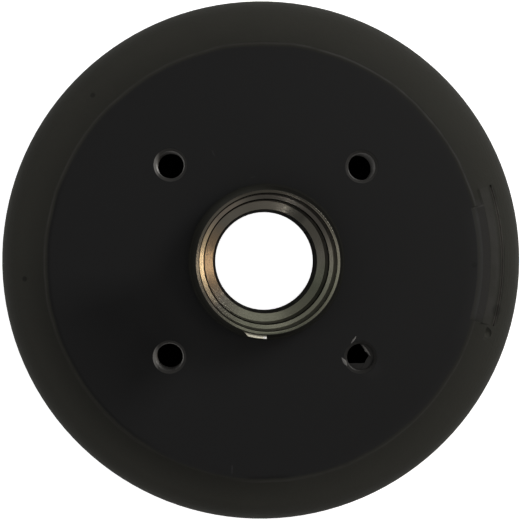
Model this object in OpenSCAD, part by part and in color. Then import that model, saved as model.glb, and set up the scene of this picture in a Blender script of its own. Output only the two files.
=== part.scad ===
// Brake drum with its hub in one grey iron casting.
// Z is the axis, with the wheel face at z = 0 and the hub nose pointing up.
// The drum opens downwards and stands on its open edge.

/* [Drum] */
// Diameter that the brake shoes rub on
friction_d = 180; // [150:0.5:216]
// Thickness of the wall beside the shoes, below the shoulder
wall_t = 10.2; // [8:0.1:14]
// Height from the open edge up to the wheel face
drum_h = 52; // [46:0.5:66]
// Thickness of the web under the wheel face
web_t = 9; // [7.5:0.1:12]
// Radius of the corner between the web and the friction surface
corner_r = 4; // [2:0.5:6]
// Width of the cast shoulder, seen along the axis
shoulder_w = 19; // [14:0.1:23]
// Depth of the cast shoulder below the wheel face
shoulder_drop = 21.6; // [18:0.1:27]
// Slope of the shoulder where it leaves the wheel face
shoulder_slope = 30; // [10:1:36]
// Draft of the cast wall, in degrees
wall_draft = 1.5; // [0.5:0.1:3]
// How far the lip at the open edge stands out from the wall
lip_w = 2.4; // [1:0.1:4]
// Height of that lip
lip_h = 8; // [5:0.5:12]
// How far the mouth is opened out beyond the friction surface
mouth_step = 3.6; // [2:0.1:5]
// Depth of the opened mouth
mouth_depth = 6; // [4:0.5:9]

/* [Gate stub] */
// Where the stub left by the casting's gate starts, in degrees from the X axis
stub_from = -15.5; // [-30:0.5:-10]
// Where it ends
stub_to = 19; // [10:0.5:30]
// How far the stub's flat top reaches beyond the wheel face
stub_top_w = 3.1; // [2.5:0.1:5]
// How far that top lies below the wheel face
stub_drop = 1.2; // [0.8:0.1:1.4]
// Slope of the stub's outer side
stub_slope = 36; // [34:1:60]
// How far the dressed edge beside the stub reaches in from the wheel face's edge
dressed_w = 2.2; // [1:0.1:4]
// Slope of that dressed edge
dressed_slope = 26; // [20:1:40]
// Where the dressed edge ends, in degrees from the X axis
dressed_to = 15; // [5:0.5:28]
// How far the crevice at the stub's foot lies beyond the wheel face
crevice_out = 8.5; // [8:0.1:9]
// Width of the crevice at its top, level with the stub
crevice_w = 2.2; // [1.6:0.1:3]
// Depth of the crevice's floor below the wheel face
crevice_drop = 5.9; // [5.6:0.1:7]
// Diameter of the round pit beside the stub
pit_d = 4.2; // [3.6:0.1:5]
// How far the pit lies beyond the wheel face
pit_out = 7.5; // [4:0.1:8]
// Direction of the pit, in degrees from the X axis
pit_at = -17.8; // [-32:0.1:-15]
// Depth of the pit below the skin
pit_depth = 1.3; // [0.8:0.1:1.7]

/* [Hub nose] */
// Height of the nose above the wheel face
nose_h = 17; // [13:0.5:24]
// Wall of the nose around the bore for the grease cap
nose_wall = 1.35; // [1:0.05:3]
// How far the spigot that centres the wheel stands out from the nose
spigot_w = 2.75; // [2:0.05:9]
// Height of that spigot
spigot_h = 6.5; // [4:0.1:8]
// Step from the outer bearing's seat out to the bore for the grease cap
cap_step = 1.78; // [1:0.01:3]
// Depth of the bore for the grease cap
cap_bore_depth = 11.5; // [8:0.1:14]
// Diameter of the outer bearing's seat
outer_seat_d = 45.24; // [36:0.01:55]
// Depth of the outer bearing's seat
outer_seat_depth = 12.1; // [9:0.1:15]
// Width of the shoulder under the outer bearing
outer_shoulder_w = 3.02; // [2:0.01:4]
// How far the narrow ring stands in from that shoulder
core_step = 0.95; // [0.5:0.05:3]
// Height of the narrow ring below the outer bearing's seat
core_land = 8; // [5:0.5:10]

/* [Hub back] */
// How far the hub's back end stays inside the drum's open edge
hub_inset = 6; // [1:0.5:10]
// Wall of the hub barrel around the bore for the grease seal
barrel_wall = 7.5; // [5:0.1:10]
// Radius between the web and the hub barrel
barrel_fillet = 7; // [4:0.5:9]
// Diameter of the inner bearing's seat
inner_seat_d = 59.13; // [49:0.01:71]
// Depth of the inner bearing's seat
inner_seat_depth = 12; // [9:0.1:14]
// Width of the shoulder over the inner bearing
inner_shoulder_w = 3.05; // [2:0.01:4]
// Step from the inner bearing's seat out to the bore for the grease seal
seal_step = 1.435; // [0.8:0.005:3]
// Depth of the bore for the grease seal
seal_bore_depth = 8; // [6:0.1:10]

/* [Wheel bolts] */
// Diameter of the circle that the bolt holes lie on
bolt_pcd = 100; // [96:0.1:112]
// Number of bolt holes
bolt_count = 4; // [3:1:5]
// Diameter of the tapped holes inside the thread
tap_d = 10.5; // [8.5:0.1:12.5]
// Diameter of the countersink at the mouth of each hole
tap_mouth_d = 12.5; // [12.5:0.1:14]
// Diameter of the cast boss behind each hole
boss_d = 26; // [22:0.5:28]
// Height of each boss behind the web
boss_h = 3.4; // [2:0.1:5]

/* [Nose lug] */
// How far the lug stands out from the side of the nose
lug_w = 1.45; // [0.8:0.05:1.9]
// Where the lug's sharp end lies, in degrees from the X axis
lug_end = 269.3; // [0:0.1:360]
// How far round the nose the lug runs at its full width, in degrees
lug_arc = 14; // [5:0.5:30]
// How far round its tapered end runs, in degrees
lug_taper = 12; // [2:0.5:20]
// How far the lug's top lies below the end of the nose
lug_drop = 1.6; // [0.5:0.1:4]

/* [Hidden] */
$fn = 180;

cast_black = [0.12, 0.12, 0.115];
edge_c = 0.8;          // chamfer that breaks a turned edge
bore_c = 0.4;          // chamfer at the mouth of a bearing seat
nose_c = 0.25;         // chamfer on each edge of the nose's thin end
arc_step = 5;          // degrees between the points of a rounded stretch
overlap = 1;           // how far a fused shape reaches into its neighbour
cut = 1;               // how far a cutter passes the surface that it opens
core_lead = 1;         // rise of the cones that lead into the cored grease space

friction_r = friction_d / 2;
wall_r = friction_r + wall_t;
face_r = wall_r - shoulder_w;
lip_top = drum_h - lip_h;
lip_root_r = wall_r + (lip_top - lip_w - shoulder_drop) * tan(wall_draft);
lip_r = lip_root_r + lip_w;
mouth_r = friction_r + mouth_step;
friction_end = drum_h - mouth_depth;
// The shoulder starts as a cone and ends in an arc that meets both the cone and the wall smoothly.
shoulder_r = (shoulder_drop - shoulder_w * tan(shoulder_slope))
    / (cos(shoulder_slope) - (1 - sin(shoulder_slope)) * tan(shoulder_slope));
outer_seat_r = outer_seat_d / 2;
outer_shoulder_r = outer_seat_r - outer_shoulder_w;
core_r = outer_shoulder_r - core_step;
cap_bore_r = outer_seat_r + cap_step;
nose_r = cap_bore_r + nose_wall;
spigot_r = nose_r + spigot_w;
cap_floor = nose_h - cap_bore_depth;
outer_seat_floor = cap_floor - outer_seat_depth;
core_end = outer_seat_floor - core_land;
hub_depth = drum_h - hub_inset;
inner_seat_r = inner_seat_d / 2;
inner_shoulder_r = inner_seat_r - inner_shoulder_w;
seal_bore_r = inner_seat_r + seal_step;
barrel_r = seal_bore_r + barrel_wall;
// The cored grease space lies halfway between the inner shoulder and the narrow ring.
grease_r = (inner_shoulder_r + core_r) / 2;
seal_floor = seal_bore_depth - hub_depth;
inner_seat_floor = seal_floor + inner_seat_depth;
bolt_r = bolt_pcd / 2;
bolt_turn = 180 / bolt_count;

// Points of an arc in the section plane, from angle a0 to angle a1.
function arc(x, z, r, a0, a1) =
    let (n = max(2, ceil(abs(a1 - a0) / arc_step)))
    [for (i = [0:n]) let (a = a0 + (a1 - a0) * i / n) [x + r * cos(a), z + r * sin(a)]];

// Each function below walks one stretch of the section, as [radius, height].
function nose_outside() = [
    [nose_r - nose_c, nose_h],
    [nose_r, nose_h - nose_c],
    [nose_r, spigot_h],
    [spigot_r - edge_c, spigot_h],
    [spigot_r, spigot_h - edge_c],
    [spigot_r, 0]
];

function drum_outside() = concat(
    [[face_r, 0]],
    arc(wall_r - shoulder_r, -shoulder_drop, shoulder_r, 90 - shoulder_slope, 0),
    [
        [lip_root_r, lip_w - lip_top],
        [lip_r, -lip_top],
        [lip_r, edge_c - drum_h],
        [lip_r - edge_c, -drum_h]
    ]
);

function drum_inside() = concat(
    [
        [mouth_r + edge_c, -drum_h],
        [mouth_r, edge_c - drum_h],
        [mouth_r, -friction_end],
        [friction_r + edge_c, -friction_end],
        [friction_r, edge_c - friction_end]
    ],
    arc(friction_r - corner_r, -web_t - corner_r, corner_r, 0, 90)
);

function barrel_outside() = concat(
    arc(barrel_r + barrel_fillet, -web_t - barrel_fillet, barrel_fillet, 90, 180),
    [
        [barrel_r, edge_c - hub_depth],
        [barrel_r - edge_c, -hub_depth]
    ]
);

function back_bore() = [
    [seal_bore_r + edge_c, -hub_depth],
    [seal_bore_r, edge_c - hub_depth],
    [seal_bore_r, seal_floor],
    [inner_seat_r + bore_c, seal_floor],
    [inner_seat_r, seal_floor + bore_c],
    [inner_seat_r, inner_seat_floor],
    [inner_shoulder_r, inner_seat_floor],
    [grease_r, inner_seat_floor + core_lead],
    [grease_r, core_end - core_lead],
    [core_r + core_lead, core_end - core_lead],
    [core_r, core_end]
];

function nose_bore() = [
    [outer_shoulder_r, outer_seat_floor],
    [outer_seat_r, outer_seat_floor],
    [outer_seat_r, cap_floor - bore_c],
    [outer_seat_r + bore_c, cap_floor],
    [cap_bore_r, cap_floor],
    [cap_bore_r, nose_h - nose_c],
    [cap_bore_r + nose_c, nose_h]
];

module turned_body() {
    rotate_extrude()
        polygon(concat(nose_outside(), drum_outside(), drum_inside(),
            barrel_outside(), back_bore(), nose_bore()));
}

// Places its children at every bolt hole.
module at_bolts() {
    for (i = [0:bolt_count - 1])
        rotate([0, 0, bolt_turn + i * 360 / bolt_count])
            translate([bolt_r, 0, 0])
                children();
}

module boss() {
    translate([0, 0, -web_t - boss_h])
        cylinder(d = boss_d, h = boss_h + overlap);
}

module tapped_hole() {
    mouth_depth_z = (tap_mouth_d - tap_d) / 2;
    boss_end = -web_t - boss_h;
    translate([0, 0, boss_end - cut])
        cylinder(d = tap_d, h = web_t + boss_h + 2 * cut);
    translate([0, 0, -mouth_depth_z])
        cylinder(d1 = tap_d, d2 = tap_mouth_d + 2 * cut, h = mouth_depth_z + cut);
}

// A lug on the side of the nose, with one square end and one that runs out.
module nose_lug() {
    lug_r = nose_r + lug_w;
    sweep = concat(
        [for (a = [lug_end:-1:lug_end - lug_arc]) [lug_r * cos(a), lug_r * sin(a)]],
        [for (a = [lug_end - lug_arc - lug_taper:1:lug_end])
            [(nose_r - overlap) * cos(a), (nose_r - overlap) * sin(a)]]
    );
    translate([0, 0, spigot_h - overlap])
        linear_extrude(height = nose_h - lug_drop - spigot_h + overlap)
            polygon(sweep);
}

// The pad of iron left on the shoulder where the gate was broken off.
module gate_stub() {
    top_r = face_r + stub_top_w;
    base = overlap - web_t;
    rotate([0, 0, stub_from])
        rotate_extrude(angle = stub_to - stub_from)
            polygon([
                [face_r, base],
                [face_r, -stub_drop],
                [top_r, -stub_drop],
                [top_r - (stub_drop + base) / tan(stub_slope), base]
            ]);
}

// Cuts the dressed edge, the crevice at the stub's foot and the pit beside it.
module stub_marks() {
    start_r = face_r - dressed_w;
    crevice_r = face_r + crevice_out;
    rotate([0, 0, stub_from])
        rotate_extrude(angle = dressed_to - stub_from)
            polygon([
                [start_r, 0],
                [start_r + stub_drop / tan(dressed_slope), -stub_drop],
                [face_r + stub_top_w, -stub_drop],
                [face_r + stub_top_w, cut],
                [start_r, cut]
            ]);
    rotate([0, 0, stub_from])
        rotate_extrude(angle = stub_to - stub_from)
            polygon([
                [crevice_r - crevice_w / 2, -stub_drop],
                [crevice_r - crevice_w / 8, -crevice_drop],
                [crevice_r + crevice_w / 8, -crevice_drop],
                [crevice_r + crevice_w / 2, -stub_drop]
            ]);
    rotate([0, 0, pit_at])
        translate([face_r + pit_out, 0, -pit_depth - pit_out * tan(shoulder_slope)])
            cylinder(d1 = pit_d - 2 * pit_depth, d2 = pit_d + 2 * cut, h = pit_depth + cut);
}

module brake_drum() {
    color(cast_black)
        difference() {
            union() {
                turned_body();
                at_bolts() boss();
                nose_lug();
                gate_stub();
            }
            at_bolts() tapped_hole();
            stub_marks();
        }
}

brake_drum();
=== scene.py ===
# %% [markdown]
# # A brake drum with its hub cast in
# One grey iron casting, turned where a wheel, a bearing or a brake lining touches it and left
# as cast everywhere else, then dipped in thin black paint. The packed model already has every
# turned and cast form, so this lesson is mostly about finishes: one material has to look like
# satin paint on a turned face, like paint over a sand-cast skin, and like bare turned iron.

import math
import random

import bpy
from mathutils import Matrix, Vector


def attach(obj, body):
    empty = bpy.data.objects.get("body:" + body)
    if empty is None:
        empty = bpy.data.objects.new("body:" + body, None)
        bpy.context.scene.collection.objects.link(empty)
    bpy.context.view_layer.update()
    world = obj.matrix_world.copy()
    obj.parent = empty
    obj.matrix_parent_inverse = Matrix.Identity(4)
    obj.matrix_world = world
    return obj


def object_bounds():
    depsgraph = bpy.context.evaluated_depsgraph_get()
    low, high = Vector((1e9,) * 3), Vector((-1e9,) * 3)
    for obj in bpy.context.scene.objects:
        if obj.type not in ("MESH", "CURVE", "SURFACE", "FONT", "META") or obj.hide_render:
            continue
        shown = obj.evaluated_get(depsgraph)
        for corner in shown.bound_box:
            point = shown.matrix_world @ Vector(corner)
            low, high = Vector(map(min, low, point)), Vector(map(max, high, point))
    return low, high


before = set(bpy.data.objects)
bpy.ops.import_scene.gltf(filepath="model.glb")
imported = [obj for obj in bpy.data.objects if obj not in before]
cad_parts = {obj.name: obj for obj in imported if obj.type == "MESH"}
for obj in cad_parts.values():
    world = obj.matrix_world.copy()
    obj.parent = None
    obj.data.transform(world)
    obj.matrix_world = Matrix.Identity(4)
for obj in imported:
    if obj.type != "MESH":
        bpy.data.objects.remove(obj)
cad_box = [[float(v) for v in corner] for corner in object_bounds()]
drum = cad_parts["brake_drum"]
MM = 0.001
print("drum box", cad_box, "vertices", len(drum.data.vertices))

# %% [markdown]
# ## The sizes that the finishes follow
# A finish begins and ends where the lathe did. These radii and heights are the model's own,
# in millimetres, with the wheel face at height 0 and the hub's axis at radius 0.

# %% Sizes of the turned places
FACE_R = 81.2  # the wheel face
SPIGOT_R = 28.5  # the step that centres a wheel
SPIGOT_TOP = 6.5
NOSE_R = 25.75  # the hub's nose
NOSE_END_R = 25.1  # the middle of the ring at its end
NOSE_END_Z = 16.0
LUG_R = 27.9  # a small raised arc on the nose
CAP_FLOOR_R = 23.6  # the floor of the grease cap's bore
CAP_FLOOR_Z = 5.0
SEAT_R = 22.7  # the outer bearing's seat
BACK_BORE_R = 31.9  # the bores behind the web
BACK_BORE_TOP = -25.9
BARREL_R = 38.6  # the hub's skin behind the web
HUB_BACK = -46.0
LINING_R = 90.0  # where the brake lining rubs
LINING_TOP = -13.4
MOUTH_R = 94.2  # the drum's open end
RIM_Z = -52.0
BOLT_AT = 50.0 / math.sqrt(2)  # the bolt holes, along X and along Y
DRILL_R = 5.25
SINK_R = 6.25  # the chamfer at a hole's mouth
BOSS_END = -12.4  # where a bolt hole ends
print("bolt holes at", round(BOLT_AT, 2), "mm along X and Y")

# %% [markdown]
# ## Sums on sockets
# A finish that changes over a surface is a sum: how far a point is from the axis, how rough
# the casting is there, how much paint has worn off. Such sums could be wired up by hand as Math
# nodes, but then nobody can read them. So one small class wraps an output socket, and each plus
# or minus sign on it adds a node. Numbers alone are still worked out by Python.


# %% A socket that takes sums
class Wire:
    """An output socket of a node tree, on which sums can be written."""

    def __init__(self, socket):
        self.socket = socket

    def _math(self, operation, first, second=None, clamp=False):
        tree = self.socket.id_data
        node = tree.nodes.new("ShaderNodeMath")
        node.operation = operation
        node.use_clamp = clamp
        for slot, value in zip(node.inputs, (first, second)):
            if isinstance(value, Wire):
                tree.links.new(value.socket, slot)
            elif value is not None:
                slot.default_value = value
        return Wire(node.outputs[0])

    def __add__(self, other):
        return self._math("ADD", self, other)

    def __radd__(self, other):
        return self._math("ADD", other, self)

    def __sub__(self, other):
        return self._math("SUBTRACT", self, other)

    def __rsub__(self, other):
        return self._math("SUBTRACT", other, self)

    def __mul__(self, other):
        return self._math("MULTIPLY", self, other)

    def __rmul__(self, other):
        return self._math("MULTIPLY", other, self)

    def __truediv__(self, other):
        return self._math("DIVIDE", self, other)

    def __rtruediv__(self, other):
        return self._math("DIVIDE", other, self)

    def __pow__(self, other):
        return self._math("POWER", self, other)

    def __rpow__(self, other):
        return self._math("POWER", other, self)

    def __abs__(self):
        return self._math("ABSOLUTE", self)

    def sign(self):
        """1 above zero and -1 below it."""
        return self._math("SIGN", self)

    def most(self, other):
        """The larger of two."""
        return self._math("MAXIMUM", self, other)

    def clip(self):
        """Kept between 0 and 1."""
        return self._math("ADD", self, 0.0, clamp=True)

    def rise(self, start, end):
        """0 before start and 1 after end, with a straight ramp between them."""
        return ((self - start) / (end - start)).clip()

    def band(self, centre, half, soft):
        """1 within half of centre, fading out over soft."""
        return 1.0 - abs(self - centre).rise(half, half + soft)


print("a socket also takes", [name for name in vars(Wire) if not name.startswith("_")])

# %% [markdown]
# ## A board that takes nodes
# Nodes that aren't sums come from one method, which takes a node's type, its settings, and the
# values or links of its sockets. Colours and vectors go through nodes of their own, because a
# Math node would turn a colour grey.


# %% A material's node tree
def with_alpha(colour):
    """A plain colour needs a fourth number, and a socket is passed on as it is."""
    return colour if isinstance(colour, Wire) else (*colour, 1.0)


class Board:
    """A material's node tree, with a short way to add a node."""

    def __init__(self, name):
        self.material = bpy.data.materials.new(name)
        self.material.use_nodes = True
        self.tree = self.material.node_tree
        self.tree.nodes.clear()

    def put(self, kind, settings=None, sockets=None, out=0):
        """Adds a node: its settings first, then its sockets' values or links."""
        node = self.tree.nodes.new("ShaderNode" + kind)
        for key, value in (settings or {}).items():
            setattr(node, key, value)
        for key, value in (sockets or {}).items():
            if isinstance(value, Wire):
                self.tree.links.new(value.socket, node.inputs[key])
            else:
                node.inputs[key].default_value = value
        return Wire(node.outputs[out]) if node.outputs else None

    def split(self, vector):
        """The X, Y and Z of a vector."""
        node = self.put("SeparateXYZ", None, {0: vector}).socket.node
        return [Wire(socket) for socket in node.outputs]

    def mix(self, factor, first, second):
        """A colour between two colours."""
        sockets = {0: factor, 6: with_alpha(first), 7: with_alpha(second)}
        return self.put("Mix", {"data_type": "RGBA"}, sockets, out=2)

    def layers(self, tone, *coats):
        """Lays each coat, a mask and a colour, over the tone in turn."""
        for mask, colour in coats:
            tone = self.mix(mask, tone, colour)
        return tone

    def finish(self, shader):
        """Sends a shader to the output, and hands back the material."""
        self.put("OutputMaterial", None, {"Surface": shader})
        print("finish", self.material.name, "with", len(self.tree.nodes), "nodes")
        return self.material


# %% [markdown]
# ## Two families of tone
# Every tone on the drum is dark and nearly grey. Three free numbers for each would soon drift
# apart, so two functions keep them in families: a grey that can be a little warm, and the
# yellowish grey of thin black paint over cast iron. A level of 1 is a white sheet.


# %% Greys, and the yellowish grey of paint over a cast skin
def grey(level, warm=0.0):
    """A neutral tone, made warmer by taking a little blue away and adding a little red."""
    return (level * (1 + warm), level, level * (1 - 1.6 * warm))


def olive(level):
    """The yellowish grey of thin black paint over a cast skin."""
    return (level * 1.015, level, level * 0.85)


print("a middle grey", grey(0.2), "and a middle olive", olive(0.2))

# %% [markdown]
# ## Where a point lies
# All of this casting is round one axis. Its finishes could be painted onto unwrapped faces, but
# they are simpler to write as sums of radius, height and side, and the object's own coordinates
# give all three. The surface's direction tells a flat from a wall.


# %% The place of a point
def places(board):
    """The point, its X, Y and Z in millimetres, and how far it is from the axis."""
    here = board.put("TexCoord", out="Object")
    x, y, z = (part * 1000.0 for part in board.split(here))
    return here, x, y, z, (x * x + y * y) ** 0.5


board = Board("cast_and_turned_iron")
here, x, y, z, radius = places(board)
plain_normal = board.put("NewGeometry", out="Normal")
upright = abs(board.split(plain_normal)[2])
print("nodes so far", len(board.tree.nodes))

# %% [markdown]
# ## Shapes of wear and of painted light
# Wear and dirt, and the light and shade painted into the colour, come in a few shapes: a cloud,
# one side of the drum, a round spot and a scratch.
# They could be painted as a texture and laid over the drum, but a texture blurs when seen from
# close by. Written as sums they stay sharp at any distance. Each is a mask from 0 to 1, and the
# later cells multiply them and lay them over one another.


# %% Noise, sectors, spots and scratches on the drum
def noise(scale, detail=2.0, rough=0.5):
    sockets = {"Vector": here, "Scale": scale, "Detail": detail, "Roughness": rough}
    return board.put("TexNoise", None, sockets)


def towards(side, half, soft):
    """1 within half a sector of that side, in degrees round the axis, fading out over soft."""
    a = math.radians(side)
    nearness = (x * math.cos(a) + y * math.sin(a)) / radius
    return nearness.rise(math.cos(math.radians(half + soft)), math.cos(math.radians(half)))


def spot(at_x, at_y, size):
    return 1.0 - ((x - at_x) ** 2.0 + (y - at_y) ** 2.0).rise(size * size * 0.3, size * size)


def stroke(at_x, at_y, side, long, wide):
    """A scratch: its middle, the way it runs, and half its length and width."""
    c, n = math.cos(math.radians(side)), math.sin(math.radians(side))
    along = (x - at_x) * c + (y - at_y) * n
    aside = (y - at_y) * c - (x - at_x) * n
    return along.band(0.0, long * 0.6, long * 0.4) * aside.band(0.0, wide, wide)


print("one degree of side at the face's edge is", round(FACE_R * math.radians(1), 2), "mm")

# %% [markdown]
# ## Where the paint is missing
# On the real drum the paint is gone wherever a tool cut after the dipping: on the nose and its
# stepped bore, in the bores at the back, on the lining's track and on the rim, and the flat of
# the lug on the nose is rubbed bare. Each could be a material slot of its own, but a slot ends
# at an edge of the mesh. A mask can end anywhere, so there is one for each place, and the
# largest of them wins.

# %% Bare places
nose = (NOSE_R - 0.2 - radius).rise(-0.05, 0.05)
back = (BARREL_R - radius).rise(-0.2, 0.2) * (BACK_BORE_TOP - z).rise(-0.2, 0.2)
barrel_skin = (radius - BACK_BORE_R).rise(0.0, 0.3) * (z - HUB_BACK).rise(0.2, 0.6)
track = (radius - LINING_R).rise(-0.9, -0.3) * (MOUTH_R - radius).rise(0.0, 0.4)
track = track * (LINING_TOP - z).rise(0.0, 0.4)
rim = (RIM_Z + 0.4 - z).rise(-0.2, 0.2)
lug = (radius - NOSE_R).rise(0.0, 0.2) * (LUG_R - radius).rise(0.0, 0.2)
lug = lug * (z - SPIGOT_TOP).rise(0.2, 0.6) * upright.rise(0.3, 0.6)
bare = nose.most(back - barrel_skin).most(track).most(rim).most(lug).clip()
print("nodes with the bare places", len(board.tree.nodes))

# %% [markdown]
# ## The bolt holes
# Each hole has a chamfer, and thin paint has run back over it and down the wall. The chamfer is
# dull, and the wall is painted pale on the side that a lamp reaches, a painted highlight. On the
# far sides of the two holes at -X the chamfer and the wall are painted paler still, a painted
# highlight of the lamp at +X. A wall and a chamfer are told apart by how upright the surface is.
# The threads, further on, take the same tones, so the tones of a wall are a function of the
# board that they are made on.

# %% Chamfers and walls of the bolt holes
from_bolt = ((abs(x) - BOLT_AT) ** 2.0 + (abs(y) - BOLT_AT) ** 2.0) ** 0.5
sink = (SINK_R + 0.1 - from_bolt).rise(0.0, 0.1) * (-0.02 - z).rise(0.0, 0.06)
drilled = sink * (1.0 - upright.rise(0.3, 0.6))


def lamp_lit_far_side(x, end):
    """Painted highlight on the far sides of the two holes at -X, lit by the lamp at +X, whole
    from end on.
    """
    return ((0.0 - x - BOLT_AT) / DRILL_R).rise(0.75, end)


def hurt(x, y):
    """The quarter of the drum, at +X -Y, that has the damaged hole."""
    return (x - 20.0).rise(0.0, 1.0) * (-20.0 - y).rise(0.0, 1.0)


def wall_tone(board, x, y):
    """A hole's wall: darker towards -X -Y, and darkest all round in the damaged hole."""
    side_x = x.sign() * (abs(x) - BOLT_AT) / DRILL_R
    side_y = y.sign() * (abs(y) - BOLT_AT) / DRILL_R
    across = (side_x * 0.79 + side_y * 0.62).rise(-0.3, 0.7)
    return board.layers(
        board.mix(across, grey(0.045, 0.03), grey(0.15, 0.03)),
        # painted highlight on the far walls of the two holes at -X
        (lamp_lit_far_side(x, 0.97), grey(0.18, 0.03)),
        (hurt(x, y), grey(0.022, 0.03)),
    )


print("radius of a hole", DRILL_R, "and of its chamfer", SINK_R)

# %% [markdown]
# ## The edge of the wheel face
# The face is turned after casting, a little off the hub's axis, and its edge wanders where the
# casting's slope is uneven. Paint has flaked off along it and left a broken light line, which is
# also a painted highlight of the edge, paler and stronger towards +X +Y, where the key lamp
# stands. Just inside the edge, at -X and at -Y, a painted shade darkens the face. The edge
# could be cut into the mesh, but it wanders by half a millimetre at most, so a little noise is
# added to the radius at which one paint gives way to the other.

# %% Face, its flaked and lit edge line, the painted shade inside it, and a paler band
FACE_PAINT_R = FACE_R - 1.1
EDGE_WANDER = 1.1
OFF_X, OFF_Y = -0.2, -0.5  # the middle of the painted face
off_axis = ((x - OFF_X) ** 2.0 + (y - OFF_Y) ** 2.0) ** 0.5
face_end = FACE_PAINT_R + (noise(70.0) - 0.5) * EDGE_WANDER
turned = z.band(0.0, 0.05, 0.15) * (face_end - off_axis).rise(-0.45, 0.45)
key_lamp_side = towards(42.0, 30.0, 20.0)
# painted highlight: this light line is partly flaked paint and partly a painted highlight of the
# edge, stronger towards +X +Y, the key lamp's side
flaked_and_lit_edge = off_axis.band(face_end + 1.0, 0.15, 0.35) * z.band(0.0, 0.7, 0.2)
flaked_and_lit_edge = flaked_and_lit_edge * (noise(45.0) * 1.4 + noise(190.0) * 1.6 - 0.6).clip()
flaked_and_lit_edge = flaked_and_lit_edge * (1.0 - towards(-109.0, 9.0, 6.0))
flaked_and_lit_edge = flaked_and_lit_edge * (1.0 - towards(-130.0, 30.0, 10.0) * 0.5)
flaked_and_lit_edge = flaked_and_lit_edge * (0.5 + key_lamp_side * 0.2)
# painted shade just inside the face's edge, at -X and at -Y
painted_edge_shade = towards(-161.0, 34.0, 12.0).most(towards(-89.0, 4.0, 3.0))
painted_edge_shade = painted_edge_shade * off_axis.band(face_end - 0.3, 0.3, 1.0)
near_gate = radius.rise(74.5, 79.5) * towards(-3.0, 14.0, 8.0)
halo = near_gate.most(radius.rise(77.0, 80.0) * towards(0.0, 50.0, 25.0) * 0.5)
print("the face's paint ends near radius", round(FACE_PAINT_R, 1))

# %% [markdown]
# ## The gate's stub
# The iron was poured in through a gate at +X. It was broken off and dressed with a grinder,
# which left a smooth edge, a trough, a rough crest, and a thin crevice where the stub meets the
# slope, with a pit beside it. The model has the big forms. What is left is how worn each of them
# is, and a mask in radius and side follows them closely. Light and shade are painted here too:
# the crevice is painted pale inside and dark round it and at its ends, and a small step's wall
# and foot are painted paler, lifting its shadow.

# %% Masks of the stub
dressed = radius.rise(79.0, 81.2) * radius.band(80.25, 1.2, 0.2)
dressed = dressed * towards(-0.3, 13.0, 3.0) * z.band(-0.65, 0.6, 0.04)
trough = radius.band(82.7, 1.3, 0.3) * towards(0.5, 14.5, 2.0) * (-0.1 - z).rise(0.0, 0.1)
crest = radius.band(86.2, 1.4, 0.8) * towards(2.0, 15.0, 4.0)
crest = crest * (noise(110.0) * 3.0 - 0.7).clip()
# painted shade: a soft dark band round the crevice and at its ends
crevice_shade = towards(-3.0, 6.0, 2.5).most(towards(16.5, 1.5, 1.5)).most(towards(-12.5, 1.5, 1.5))
crevice_shade = crevice_shade * radius.band(89.8, 0.7, 0.7) * (noise(130.0) * 2.0 - 0.2).clip()
# painted light: the crevice is painted pale, lifting its deep shade
crevice = radius.band(89.7, 0.42, 0.06) * towards(1.6, 16.6, 0.6)
crevice = crevice * (0.75 + towards(8.0, 5.0, 2.5) * 0.2)
pit = spot(84.5, -27.1, 1.8)
# painted light: the small step's wall and the skin at its foot are paler, lifting the step's
# shadow
step_wall_lightened = towards(15.0, 0.5, 0.4) * radius.band(81.5, 3.0, 0.3) * (1.0 - upright.rise(0.2, 0.5))
step_foot_lightened = towards(14.75, 0.15, 0.15) * radius.band(81.7, 2.4, 0.3) * (-0.3 - z).rise(0.0, 0.2)
print("nodes with the stub", len(board.tree.nodes))

# %% [markdown]
# ## Paint over the cast skin
# Thin black paint on sand-cast iron is a dark yellowish grey, uneven by a third from place to
# place. An even tone would look like plastic. So two noises, one of the size of a hand's breadth
# and one of a finger's, move the tone between two values. Then each worn place lays its own tone
# on top, in the order in which paint, dirt and wear would have come. Some of the layers are
# painted light and shade instead: the skin is darker at -X -Y and paler on its outer slope, the
# spigot's top is paler at -X, and round the gate and the bolt holes light and shade are painted
# too.

# %% Tones of the cast skin
broad = noise(14.0, 3.0)
blotch = noise(90.0, 3.0)
grain = noise(900.0, 4.0, 0.6)
uneven = 0.25 + broad * 0.3 + blotch * 0.2
# painted light: the outer slope of the skin is paler, where more light reaches it
slope_lit_tone = board.mix(uneven, olive(0.021), olive(0.0405))
# the light line is paler towards the key lamp's side, a painted highlight
lit_edge_tone = board.mix(key_lamp_side, grey(0.04, 0.04), grey(0.056, 0.02))
collar = (SPIGOT_R + 0.3 - radius).rise(0.0, 0.2) * z.band(6.2, 0.5, 0.2)
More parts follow.
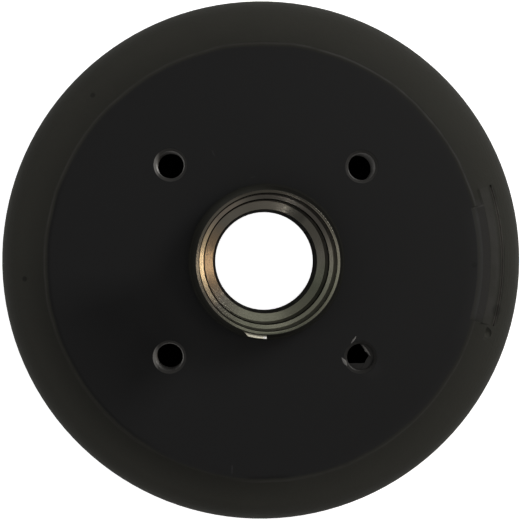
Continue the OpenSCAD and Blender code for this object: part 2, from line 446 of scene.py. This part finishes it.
# painted light and shade: the spigot's top is paler at -X, lifting the nose's shadow, and darker
# towards its outer edge
collar_lit_and_shade_tone = board.layers(
    board.mix(towards(180.0, 75.0, 25.0), olive(0.015), olive(0.036)),
    ((radius - NOSE_R).rise(0.3, 2.5), olive(0.0115)),
)
cast_tone = board.layers(
    board.mix(uneven, olive(0.0165), olive(0.032)),
    # painted shade: the skin is darker at -X -Y, away from the key lamp
    (towards(-133.0, 28.0, 25.0) * 0.8, olive(0.0185)),
    (radius.rise(82.0, 91.0), slope_lit_tone),
    (flaked_and_lit_edge, lit_edge_tone),
    (dressed * 0.8, grey(0.04)),
    (trough, grey(0.031, 0.03)),
    (crest * 0.6, grey(0.042, 0.04)),
    (crevice_shade * 0.8, olive(0.014)),
    (crevice, grey(0.145, 0.06)),
    (pit * 0.7, olive(0.055)),
    (step_wall_lightened, grey(0.06, 0.03)),
    (step_foot_lightened * 0.35, grey(0.08, 0.03)),
    (collar, collar_lit_and_shade_tone),
    (sink, grey(0.038, 0.03)),
    (sink * hurt(x, y) * 0.6, grey(0.015, 0.03)),
    # painted highlight on the chamfers at the far sides of the two holes at -X
    (sink * lamp_lit_far_side(x, 1.05), grey(0.16, 0.03)),
    (drilled, wall_tone(board, x, y)),
)
print("nodes with the cast skin's tones", len(board.tree.nodes))

# %% [markdown]
# ## Paint over the turned face
# The lathe left the face so flat that the same paint is darker and more even on it, with a
# faint wear round one bolt hole and a paler band near the gate. Small dark spots lie on both
# paints, and a few short scratches show iron. Each is listed in a table, because a
# random scatter of so few would fall in the wrong places.

# %% Tones of the face, dark spots and scratches
SPOTS = (  # X, Y, size, depth
    (-89.0, -6.9, 1.2, 0.5),
    (-64.2, 61.1, 1.2, 0.45),
    (77.8, -0.9, 1.2, 0.5),
    (87.3, -18.0, 2.5, 0.3),
)
SCRATCHES = (  # X, Y, the way it runs, half its length, half its width
    (-19.6, 39.8, 116.0, 1.5, 0.12),
    (-5.0, 31.1, 20.0, 1.2, 0.1),
    (-12.1, -77.0, 90.0, 1.9, 0.14),
)
face_tone = board.layers(
    board.mix(uneven, grey(0.0067, -0.01), grey(0.0092, -0.01)),
    (halo * 0.3, grey(0.02)),
    (painted_edge_shade * 0.6, grey(0.0015)),
    (spot(39.5, -39.6, 4.6) * 0.5, grey(0.012)),
)
for at_x, at_y, size, depth in SPOTS:
    mark = spot(at_x, at_y, size) * depth
    cast_tone = board.mix(mark, cast_tone, grey(0.003))
    face_tone = board.mix(mark, face_tone, grey(0.0015))
for scratch in SCRATCHES:
    face_tone = board.mix(stroke(*scratch) * 0.5, face_tone, grey(0.03))
print(len(SPOTS), "spots and", len(SCRATCHES), "scratches")

# %% [markdown]
# ## Three sheens of one paint
# Over the rough skin the paint is matt, and over the turned face it has a low sheen. To one
# side of the hub, at -X -Y, the face is painted darker and duller, a painted shadow of the hub
# that reaches further than the lamps cast it. Paint is a plain Principled shader, and how
# strongly it mirrors is a single number on it. That number can't change over a surface here, so
# each sheen is a shader of its own, and Mix Shaders join them. The skin's grain is a bump, too
# fine to be worth any mesh.

# %% Paint on the skin, on the face and in the hub's painted shadow
skin = grain * 0.8 + noise(260.0, 3.0) * 1.6
skin_bump = board.put("Bump", None, {"Strength": 1.0, "Distance": 0.0001, "Height": skin})
# painted shadow of the hub: the face is darker and duller at -X -Y, out from the hub
hub_shadow_mask = towards(-151.0, 13.0, 13.0) * radius.rise(36.0, 52.0)
hub_shadow_mask = hub_shadow_mask * (1.0 - radius.rise(62.0, 80.0) * 0.5)
hub_shadow_mask = (hub_shadow_mask * (0.6 + noise(28.0) * 0.8)).clip()


def paint(tone, roughness, mirror, bump=None):
    """Dry paint: mirror is how strongly it reflects."""
    sockets = {"Base Color": tone, "Roughness": roughness, "Specular IOR Level": mirror}
    if bump is not None:
        sockets["Normal"] = bump
    return board.put("BsdfPrincipled", None, sockets)


skin_paint = paint(cast_tone, 0.7 + blotch * 0.1, 0.05, skin_bump)
face_paint = paint(face_tone, 0.5 + broad * 0.1, 0.16)
hub_shadow_paint = paint(board.mix(hub_shadow_mask, face_tone, grey(0.0052, -0.01)), 0.6, 0.11)
face_paint = board.put("MixShader", None, {0: hub_shadow_mask, 1: face_paint, 2: hub_shadow_paint})
drum_paint = board.put("MixShader", None, {0: turned, 1: skin_paint, 2: face_paint})
print("nodes with the paint", len(board.tree.nodes))

# %% [markdown]
# ## Bare turned iron
# A lathe leaves a fine groove, and the groove makes light streak across it: bright where a lamp
# stands square to the groove and dark elsewhere. The cheap way is a shader's anisotropy, but
# that needs a direction for each point. Here the normal itself leans in or out across the
# groove by a different amount in each turn, which is what the real groove does.

# %% A normal that leans across the grooves
TURNS = 40.0  # changes of the lean in a millimetre
LEAN_SPREAD = 0.7
LEAN_INWARD = 0.26
around = board.put("CombineXYZ", None, {"X": 0.0 - y / radius, "Y": x / radius})
crossing = {"operation": "CROSS_PRODUCT"}
across = board.put("VectorMath", crossing, {0: around, 1: plain_normal})
line = {"W": (radius + z) * TURNS, "Scale": 1.0, "Detail": 1.0}
grooves = board.put("TexNoise", {"noise_dimensions": "1D"}, line)
lean = (grooves - 0.5) * LEAN_SPREAD - LEAN_INWARD
tilt = board.put("VectorMath", {"operation": "SCALE"}, {0: across, "Scale": lean})
normal = board.put("VectorMath", {"operation": "ADD"}, {0: plain_normal, 1: tilt})
normal = board.put("VectorMath", {"operation": "NORMALIZE"}, {0: normal})
ends = [round(sign * LEAN_SPREAD / 2 - LEAN_INWARD, 2) for sign in (-1, 1)]
print("the lean lies between", ends)

# %% [markdown]
# ## The rings of the bore
# From above, the stepped bore is a set of rings. A polished ring mirrors the whole room, and a
# room with windows, shelves and a workbench would give each ring its own light and dark arcs.
# Building that room is one way. The shorter way, taken here, paints those arcs into the iron's
# colour, ring by ring and side by side: the pale arcs are painted reflections and highlights of
# the lamps, and the dark arcs are painted shade. The walls and chamfers between the rings are
# darkened too, a painted shade where little light reaches.

# %% Rings, walls and chamfers inside the hub
inside = (BACK_BORE_R + 0.1 - radius).rise(0.0, 0.5)
wall = (1.0 - upright.rise(0.3, 0.72)) * inside
chamfer = upright.band(0.707, 0.05, 0.1) * inside
low_shoulder = (SEAT_R - radius).rise(0.0, 0.1) * inside
cap_floor = radius.band(CAP_FLOOR_R, 0.9, 0.1) * (z - CAP_FLOOR_Z).rise(0.0, 0.2)
nose_end = radius.band(NOSE_END_R, 0.75, 0.1) * (z - NOSE_END_Z).rise(0.0, 0.2)
outer_end = nose_end * radius.rise(NOSE_END_R - 0.1, NOSE_END_R)
inner_end = nose_end * (NOSE_END_R - radius).rise(0.0, 0.1)
print("nodes with the rings", len(board.tree.nodes))

# %% Painted reflections and shade, ring by ring and side by side
# dark tones of painted shade, for arcs on the rings and for the walls between them
DARK_ARC = (0.05, 0.047, 0.04)
DARKER_ARC = (0.03, 0.028, 0.024)
RECESS_SHADE = (0.03, 0.027, 0.022)
# pale arcs are painted reflections and highlights, dark arcs painted shade
RING_TONES = (  # side, half a sector, fade, ring, strength, tone
    (-30.0, 30.0, 40.0, cap_floor, 0.35, (0.4, 0.38, 0.3)),
    (133.0, 10.0, 15.0, cap_floor, 0.4, (0.4, 0.33, 0.26)),
    (64.0, 30.0, 22.0, cap_floor, 0.6, (0.06, 0.055, 0.05)),
    (2.0, 18.0, 18.0, nose_end, 0.35, (0.36, 0.34, 0.26)),
    (-58.0, 14.0, 10.0, nose_end, 0.3, DARK_ARC),
    (44.0, 19.0, 12.0, outer_end, 0.7, DARK_ARC),
    (82.0, 22.0, 14.0, inner_end, 0.6, DARK_ARC),
    (85.0, 22.0, 14.0, outer_end, 0.5, DARKER_ARC),
    (-85.0, 6.0, 8.0, outer_end, 0.5, DARKER_ARC),
    (-12.0, 32.0, 18.0, outer_end, 0.2, (0.75, 0.7, 0.54)),
    (-12.0, 40.0, 20.0, inner_end, 0.1, (0.85, 0.8, 0.6)),
    (148.0, 75.0, 40.0, nose_end, 0.25, (0.04, 0.035, 0.025)),
    (57.0, 7.0, 6.0, low_shoulder, 0.7, DARK_ARC),
    (10.0, 35.0, 25.0, low_shoulder, 0.4, (0.05, 0.053, 0.045)),
    (-65.0, 45.0, 30.0, inside, 0.1, (0.11, 0.26, 0.09)),
)
# painted reflection: a warm highlight of the lamp at +X, on the rings' -X side
warm_highlight_side = towards(180.0, 22.0, 20.0)
iron_tone = board.layers(
    board.mix(noise(60.0, 3.0), (0.15, 0.135, 0.11), (0.24, 0.22, 0.18)),
    (warm_highlight_side * low_shoulder * 0.8, (0.27, 0.19, 0.115)),
    (warm_highlight_side * cap_floor, (0.62, 0.5, 0.33)),
    (cap_floor * 0.15, (0.04, 0.035, 0.03)),
)
for side, half, fade, ring, strength, tone in RING_TONES:
    iron_tone = board.mix(towards(side, half, fade) * ring * strength, iron_tone, tone)
iron_tone = board.layers(
    iron_tone,
    # painted shade on the walls and chamfers between the rings
    (wall * 0.65, RECESS_SHADE),
    (chamfer * 0.4, RECESS_SHADE),
    (lug * 0.9, (0.9, 0.85, 0.68)),
    (track * 0.8, (0.46, 0.44, 0.41)),
    # painted highlight on the lug's corner
    (spot(-0.9, -26.9, 0.8) * lug, (0.95, 0.93, 0.88)),
)
print(len(RING_TONES), "arcs of tarnish")

# %% [markdown]
# ## One material for the whole casting
# Iron is metallic: its tone is in what it mirrors, and it has no colour under that. The mask of
# the bare places chooses between iron and paint, so one material serves the one casting, and
# it is put into the slots that the packed model already has.

# %% Join iron and paint, and fill the drum's slots
iron_sockets = {"Base Color": iron_tone, "Metallic": 1.0, "Normal": normal}
iron_sockets["Roughness"] = 0.19 + wall * 0.3 + track * 0.22
iron = board.put("BsdfPrincipled", None, iron_sockets)
drum_finish = board.finish(board.put("MixShader", None, {0: bare, 1: drum_paint, 2: iron}))
for slot in drum.material_slots:
    slot.material = drum_finish
print("slots on the drum", len(drum.material_slots))

# %% [markdown]
# ## Cut and torn iron
# In the bolt holes the iron is cut by a tap or torn, with some paint left on it. These pieces
# are too small for the drum's long sums, so each of their finishes is short: two tones, a fine
# speck that chooses between them, and a shallow bump of the same speck. The finish of the
# threads also takes the tone of the wall that they stand on, its painted highlight included.


# %% Finishes of the pieces in the bolt holes
def cut_iron(name, dark, pale, metallic, roughness, mirror, painted=False):
    board = Board(name)
    here = board.put("TexCoord", out="Object")
    speck = board.put("TexNoise", None, {"Vector": here, "Scale": 1400.0, "Detail": 2.0})
    tone = board.mix(speck, dark, pale)
    if painted:
        x, y = places(board)[1:3]
        tone = board.mix(speck * 0.5, wall_tone(board, x, y), tone)
    bump = board.put("Bump", None, {"Strength": 0.5, "Distance": 0.00005, "Height": speck})
    sockets = {"Base Color": tone, "Metallic": metallic, "Roughness": roughness, "Normal": bump}
    sockets["Specular IOR Level"] = mirror
    return board.finish(board.put("BsdfPrincipled", None, sockets))


# the tones, how metallic, how rough, how strongly it mirrors, and whether it is painted and
# takes the wall's tone, painted highlight included
thread_iron = cut_iron("thread_iron", grey(0.035, 0.03), grey(0.06, 0.03), 1.0, 0.45, 0.5, True)
torn_iron = cut_iron("torn_iron", grey(0.12, 0.03), grey(0.2, 0.03), 0.3, 0.5, 0.3)
edge_iron = cut_iron("edge_iron", grey(0.07, 0.03), grey(0.11, 0.03), 0.0, 0.5, 0.2)
flake_paint = cut_iron("flake_paint", grey(0.011, 0.03), grey(0.018, 0.03), 0.0, 0.6, 0.15)

# %% [markdown]
# ## Pieces made of points
# A thread and a torn sliver are both a ridge: a row of small sections with a skin over them and
# a lid at each end. A curve with a bevel could make one, but every section here has its own
# size. So the points are worked out in Python, and one function makes the faces over them.


# %% A way to add a piece, and the faces over a row of sections
def new_mesh(name, points, faces, material):
    mesh = bpy.data.meshes.new(name)
    mesh.from_pydata(points, [], faces)
    mesh.materials.append(material)
    thing = bpy.data.objects.new(name, mesh)
    bpy.context.scene.collection.objects.link(thing)
    return thing


def add_piece(name, points, faces, material):
    """A piece that sits in the drum. Its points are in millimetres."""
    points = [tuple(v * MM for v in point) for point in points]
    thing = new_mesh(name, points, faces, material)
    thing.data.validate()
    thing.data.update()
    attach(thing, "root")
    print(name, "faces", len(thing.data.polygons))
    return thing


def skin_of(count):
    """The faces over a row of count + 1 sections of four points, closed at both ends."""
    faces = []
    for i in range(count):
        for k in range(4):
            n = (k + 1) % 4
            faces.append((4 * i + k, 4 * i + n, 4 * i + 4 + n, 4 * i + 4 + k))
    return faces + [(3, 2, 1, 0), tuple(4 * count + k for k in range(4))]


print("a row of two sections has", len(skin_of(1)), "faces")

# %% [markdown]
# ## Threads
# The wheel bolts screw into the drum itself, and the model has the holes at their tapping size.
# A screw modifier could wind up a thread, but its ridge also has to fade out at both ends, as a
# tap leaves it. So each thread is one ridge that runs down the wall, a pitch deeper with each
# turn, and grows and fades over its first and last sections.


# %% The four threads
PITCH = 1.5
RIDGE = 0.4  # how far a ridge stands in from the wall
FLANK = RIDGE * math.tan(math.radians(30))
FLAT = 0.08  # half the ridge's flat top
STEPS = 48  # sections in a turn
FADE = 14  # sections in which the ridge grows or fades
THREAD_TOP = -0.75
THREAD_END = BOSS_END + 0.3


def thread(name, centre_x, centre_y):
    count = int((THREAD_TOP - THREAD_END) / PITCH * STEPS)
    root = DRILL_R + 0.04  # a little way into the wall
    points = []
    for i in range(count + 1):
        a = -2 * math.pi * i / STEPS
        full = min(1.0, i / FADE, (count - i) / FADE)
        level = THREAD_TOP - PITCH * i / STEPS
        tip = root - RIDGE * full - 0.01
        for r, h in ((root, FLANK + FLAT), (tip, FLAT), (tip, -FLAT), (root, -FLANK - FLAT)):
            point_x, point_y = centre_x + r * math.cos(a), centre_y + r * math.sin(a)
            points.append((point_x, point_y, level + h * max(full, 0.05)))
    return add_piece(name, points, skin_of(count), thread_iron)


for i, (sign_x, sign_y) in enumerate(((1, 1), (-1, 1), (-1, -1), (1, -1))):
    thread("bolt_thread_%d" % (i + 1), sign_x * BOLT_AT, sign_y * BOLT_AT)

# %% [markdown]
# ## The damaged hole
# One hole, at +X -Y, is damaged. Two slivers of iron stand up at its mouth, and three flakes
# block part of its thread, with straight edges. The one across the far corner has a raised lip.
# They could be cut out of the drum, but the drum's own mesh stays as it is packed, and torn
# iron stands out from a hole anyway. So each is a small closed piece: a sliver tapers to both
# ends, and a flake fills the part of the bore beyond a straight edge.

# %% A sliver
HURT_X, HURT_Y = BOLT_AT, -BOLT_AT
rng = random.Random(11)


def sliver(name, start, end, width, height, base=0.0, finish=torn_iron):
    """A torn ridge that stands at height base and tapers to both ends."""
    steps = 9
    (start_x, start_y), (end_x, end_y) = start, end
    run_x, run_y = end_x - start_x, end_y - start_y
    length = math.hypot(run_x, run_y)
    aside_x, aside_y = -run_y / length, run_x / length
    points = []
    for i in range(steps + 1):
        t = i / steps
        full = math.sin(math.pi * (0.06 + 0.88 * t)) * rng.uniform(0.8, 1.1)
        middle_x, middle_y = start_x + run_x * t, start_y + run_y * t
        bend = rng.uniform(-0.08, 0.08)
        for off, up in ((-0.5, -0.15), (-0.2, 0.7), (0.15, 1.0), (0.5, -0.15)):
            shift = width * off * full + bend
            level = height * up * full if up > 0 else up
            points.append((middle_x + aside_x * shift, middle_y + aside_y * shift, base + level))
    return add_piece(name, points, skin_of(steps), finish)


# start, end, width, height
sliver("sliver_above", (31.8, -30.2), (33.7, -27.6), 1.05, 0.4)
sliver("sliver_left", (28.4, -35.4), (30.3, -38.6), 1.5, 0.45)


# %% A flake
def flake(name, side, reach, top, thick):
    """The part of the bore beyond a straight edge, which lies at reach from its axis."""
    bore = DRILL_R + 0.03  # a little way into the wall
    half = math.acos(reach / bore)
    arc_steps, edge_steps = 14, 6
    a = math.radians(side)
    outline = []
    for i in range(arc_steps + 1):
        t = a - half + 2 * half * i / arc_steps
        outline.append((bore * math.cos(t), bore * math.sin(t)))
    half_edge = bore * math.sin(half)
    for i in range(1, edge_steps):
        along = half_edge * (1 - 2 * i / edge_steps)
        out = reach + rng.uniform(-0.1, 0.1)
        outline.append(
            (
                math.cos(a) * out - math.sin(a) * along,
                math.sin(a) * out + math.cos(a) * along,
            )
        )
    count = len(outline)
    points = [(HURT_X + u, HURT_Y + v, h) for h in (top, top - thick) for u, v in outline]
    faces = [tuple(range(count)), tuple(reversed(range(count, 2 * count)))]
    for i in range(count):
        j = (i + 1) % count
        faces.append((j, i, count + i, count + j))
    return add_piece(name, points, faces, flake_paint)


# side, reach, top, thickness
flake("flake_corner", 37.6, 3.0, -1.6, 0.5)
flake("flake_right", -29.4, 2.63, -1.75, 0.5)
flake("flake_below", -90.0, 2.4, -1.9, 0.6)
sliver("flake_lip", (36.2, -30.9), (39.35, -34.98), 1.2, 0.25, -1.6, edge_iron)

# %% [markdown]
# ## The floor and the backdrop
# A plain pale floor carries the drum, and a pale wall stands round it. Both are white to the
# camera and in reflections, also where the floor shows through the hub, and the floor still
# gets the drum's shadow. More light would bleach the drum as well. So the white is a glow that
# only those rays see. Under the drum itself the floor is painted dark, a painted shade where no
# light would reach it, and both are hollow from behind, so that a view from below isn't blocked.

# %% A pale material that glows only for the rays that look at it
HUB_SHADE = 36.0  # inside this radius the floor shows through the hub
DRUM_SHADE = 98.0  # outside this radius it lies free of the drum
WHITE = (1.0, 1.0, 1.0)
NEAR_WHITE = (0.85, 0.85, 0.85)
PALE_GREY = (0.8, 0.8, 0.8)
UNDER_DRUM = (0.02, 0.02, 0.02)


def stage_material(name, under_drum=False):
    board = Board(name)
    looked_at = board.put("LightPath", out="Is Camera Ray")
    seen = looked_at.most(board.put("LightPath", out="Is Glossy Ray"))
    seen = seen.most(board.put("LightPath", out="Is Transmission Ray"))
    pale, glow_tone = with_alpha(PALE_GREY), with_alpha(NEAR_WHITE)
    if under_drum:
        radius = places(board)[4]
        through_hub = (HUB_SHADE - radius).rise(0.0, 1.0)
        covered = (radius - HUB_SHADE).rise(0.0, 1.0) * (DRUM_SHADE - radius).rise(0.0, 1.0)
        # painted shade: the floor under the drum is dark
        pale = board.mix(covered, PALE_GREY, UNDER_DRUM)
        glow_tone = board.mix(through_hub, NEAR_WHITE, WHITE)
        seen = seen * (radius - DRUM_SHADE).rise(0.0, 1.0) + looked_at * through_hub
    matt = board.put("BsdfDiffuse", None, {"Color": pale})
    glow = board.put("Emission", None, {"Color": glow_tone, "Strength": 1.0})
    both = board.put("AddShader", None, {0: glow, 1: matt})
    lit = board.put("MixShader", None, {0: seen, 1: matt, 2: both})
    from_behind = board.put("NewGeometry", out="Backfacing")
    hollow = board.put("BsdfTransparent")
    return board.finish(board.put("MixShader", None, {0: from_behind, 1: lit, 2: hollow}))


# %% Floor and backdrop
FLOOR_Z = cad_box[0][2]
FLOOR_HALF = 4.0
WALL_R = FLOOR_HALF * 0.9
WALL_TOP = 1.3
SIDES = 48


def stage_mesh(name, points, faces, material):
    thing = new_mesh(name, points, faces, material)
    return thing


corners = [
    (sign_x * FLOOR_HALF, sign_y * FLOOR_HALF, FLOOR_Z)
    for sign_x, sign_y in ((-1, -1), (1, -1), (1, 1), (-1, 1))
]
floor = stage_mesh("floor", corners, [(0, 1, 2, 3)], stage_material("pale_floor", True))
posts = []
for i in range(SIDES):
    a = 2 * math.pi * i / SIDES
    posts += [(WALL_R * math.cos(a), WALL_R * math.sin(a), h) for h in (FLOOR_Z, WALL_TOP)]
panels = []
for i in range(SIDES):
    j = (i + 1) % SIDES
    panels.append((2 * i, 2 * i + 1, 2 * j + 1, 2 * j))
backdrop = stage_mesh("backdrop", posts, panels, stage_material("pale_backdrop"))
for thing in (floor, backdrop):
    print(thing.name, "faces", len(thing.data.polygons))

# %% [markdown]
# ## Light
# The look is that of a soft studio: an even white room, one broad lamp from the upper right,
# and a few weak ones that only the polished rings show. A lamp's power says little by itself,
# since its light falls off with distance and spreads with size. So each lamp is given the light
# that a white sheet facing it would get, and its power is worked out from that.

# %% World and lamps
ROOM_LIGHT = 0.36
world = bpy.data.worlds.new("soft_room")
bpy.context.scene.world = world
world.use_nodes = True
sky = world.node_tree.nodes["Background"]
sky.inputs["Color"].default_value = with_alpha(WHITE)
sky.inputs["Strength"].default_value = ROOM_LIGHT


def softbox(name, azimuth, elevation, distance, width, height, level, colour=WHITE):
    """A lamp aimed at the drum. level is the light it gives a white sheet facing it."""
    lamp = bpy.data.lights.new(name, "AREA")
    lamp.shape = "RECTANGLE"
    lamp.size, lamp.size_y = width, height
    lamp.energy = level * math.pi * math.pi * distance**2
    lamp.color = colour
    thing = bpy.data.objects.new(name, lamp)
    a, e = math.radians(azimuth), math.radians(elevation)
    back = Vector((math.cos(a) * math.cos(e), math.sin(a) * math.cos(e), math.sin(e)))
    thing.location = back * distance
    thing.rotation_mode = "QUATERNION"
    thing.rotation_quaternion = (-back).to_track_quat("-Z", "Y")
    bpy.context.scene.collection.objects.link(thing)
    print("lamp", name, "with", round(lamp.energy, 2), "W")


# azimuth, elevation, distance, width, height, level, colour
softbox("key", 38, 34, 1.3, 0.5, 0.4, 0.41)
softbox("top", 80, 55, 1.4, 0.7, 0.5, 0.052)
softbox("right", 2, 56, 1.2, 0.26, 0.2, 0.064, (1.0, 0.86, 0.68))
softbox("left", 178, 58, 1.4, 0.5, 0.3, 0.015)
softbox("low_left", 190, 25, 1.4, 0.6, 0.4, 0.06)
softbox("glint", 255, 58, 1.2, 0.02, 0.1, 0.016)

# %% [markdown]
# ## The camera
# The camera looks down the hub's axis from 40 cm, a few degrees to one side. It is turned by a
# matrix made from three directions: forward, right and up. Angles round three axes would do as
# well, but their order is easy to get wrong, and a roll of a third of a degree would be lost.

# %% Camera
TURN_LEFT = math.radians(2.81)
TURN_UP = math.radians(0.84)
ROLL = math.radians(-0.325)
DISTANCE = 0.4
LENS = 75.0
SENSOR = 36.0
SHIFT_X = -0.0114038  # as parts of the view's width
SHIFT_Y = 0.0030385
eye_x = -math.sin(TURN_LEFT) * math.cos(TURN_UP)
eye = Vector((eye_x, math.sin(TURN_UP), math.cos(TURN_LEFT) * math.cos(TURN_UP)))
forward = -eye
right = forward.cross(Vector((math.sin(ROLL), math.cos(ROLL), 0))).normalized()
upward = right.cross(forward)
camera_data = bpy.data.cameras.new("camera")
camera_data.lens = LENS
camera_data.sensor_width = SENSOR
camera_data.shift_x = SHIFT_X
camera_data.shift_y = SHIFT_Y
camera_data.clip_start = 0.01
camera = bpy.data.objects.new("camera", camera_data)
bpy.context.scene.collection.objects.link(camera)
turn = Matrix((right, upward, -forward)).transposed().to_4x4()
camera.matrix_world = Matrix.Translation(eye * DISTANCE) @ turn
bpy.context.scene.camera = camera
bpy.context.scene.view_settings.view_transform = "Standard"
print("camera at", [round(v, 3) for v in camera.matrix_world.translation])

# %% [markdown]
# ## The drum's box
# The finished drum has to fill the same box as the packed model: a thread or a flake that stood
# out of it would change the part's size.
